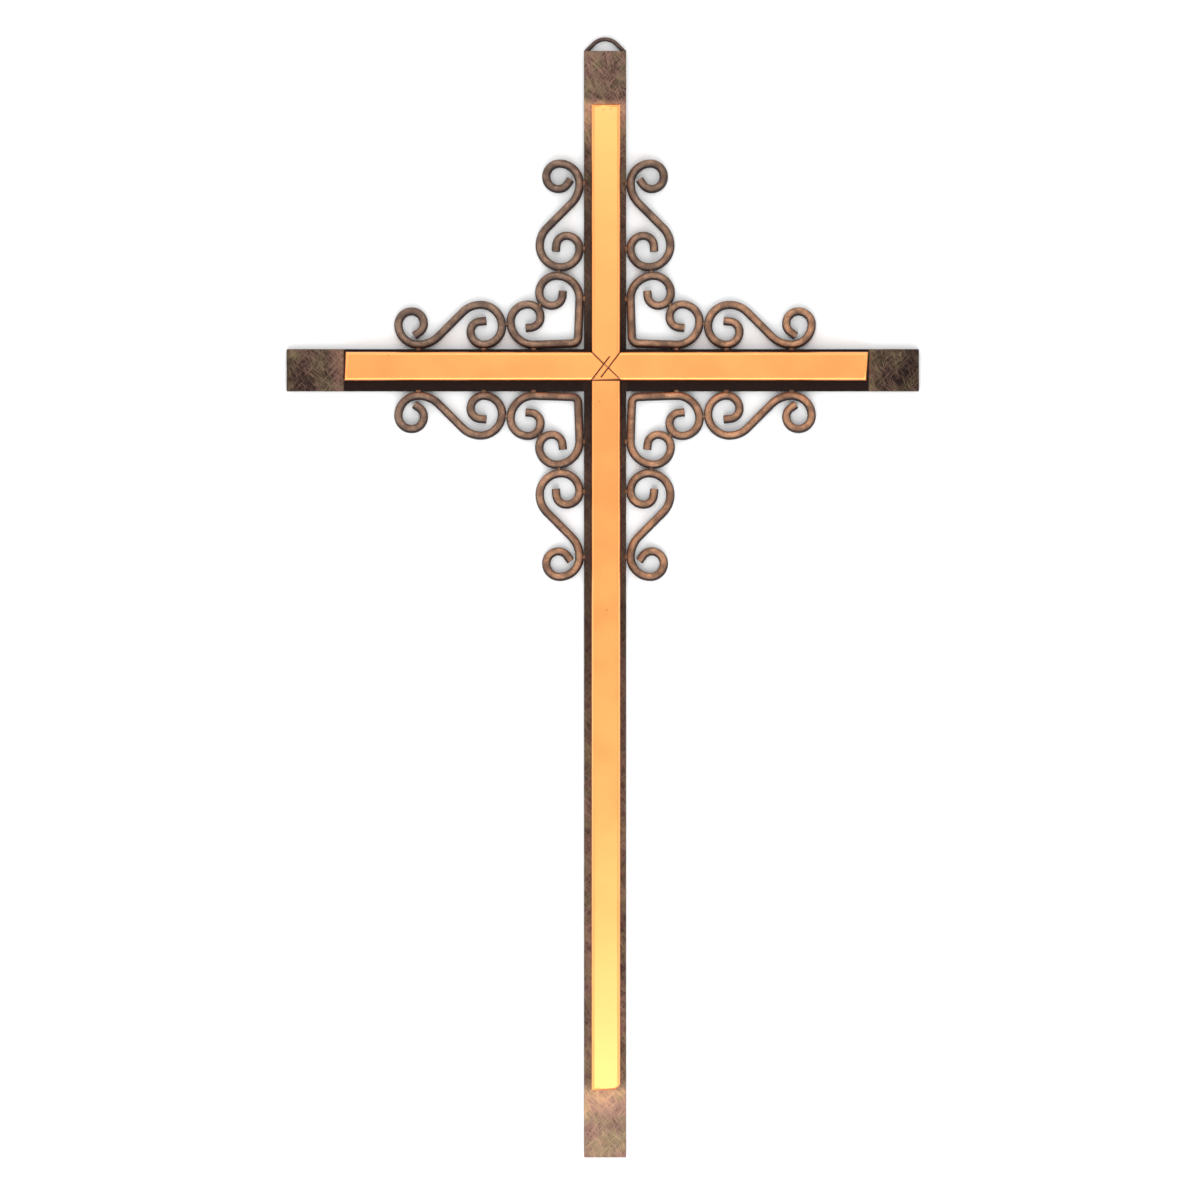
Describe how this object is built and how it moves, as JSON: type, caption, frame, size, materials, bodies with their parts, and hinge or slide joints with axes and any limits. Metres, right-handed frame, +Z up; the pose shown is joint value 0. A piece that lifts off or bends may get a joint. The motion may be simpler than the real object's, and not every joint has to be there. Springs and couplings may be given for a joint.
{
  "type": "wrought iron cross",
  "caption": "Wall cross of dark, copper-toned flat iron bars faced with bright copper strips, with bent-rod scrolls in the corners of the crossing and a wire loop to hang it by.",
  "frame": {"origin": "where the nail sits, under the crown of the hanging loop", "axes": "+Z up the upright, +X to the right as seen from the front, front towards -Y and the wall towards +Y"},
  "size_m": [0.3, 0.008, 0.5316],
  "materials": {
    "dark_iron": "dark lacquer on iron flat bar, wire-brushed through to a coppery tone at the bare ends and edges",
    "scroll_rod": "antique copper lacquer on round iron rod, satin, darker at the bends and tips",
    "copper_sheet": "bright satin copper sheet under clear lacquer",
    "loop_wire": "dark lacquer on iron wire"
  },
  "bodies": {
    "root": {"upright_bar": "dark_iron", "crossbar": "dark_iron", "upper_strip": "copper_sheet", "lower_strip": "copper_sheet", "lower_strip_foot": "copper_sheet", "left_strip": "copper_sheet", "right_strip": "copper_sheet", "hanging_loop": "loop_wire", "corner_scroll_upper_left": "scroll_rod", "corner_scroll_upper_right": "scroll_rod", "corner_scroll_lower_left": "scroll_rod", "corner_scroll_lower_right": "scroll_rod", "upright_scroll_upper_left": "scroll_rod", "upright_scroll_upper_right": "scroll_rod", "upright_scroll_lower_left": "scroll_rod", "upright_scroll_lower_right": "scroll_rod", "crossbar_scroll_upper_left": "scroll_rod", "crossbar_scroll_upper_right": "scroll_rod", "crossbar_scroll_lower_left": "scroll_rod", "crossbar_scroll_lower_right": "scroll_rod"}
  },
  "joints": []
}
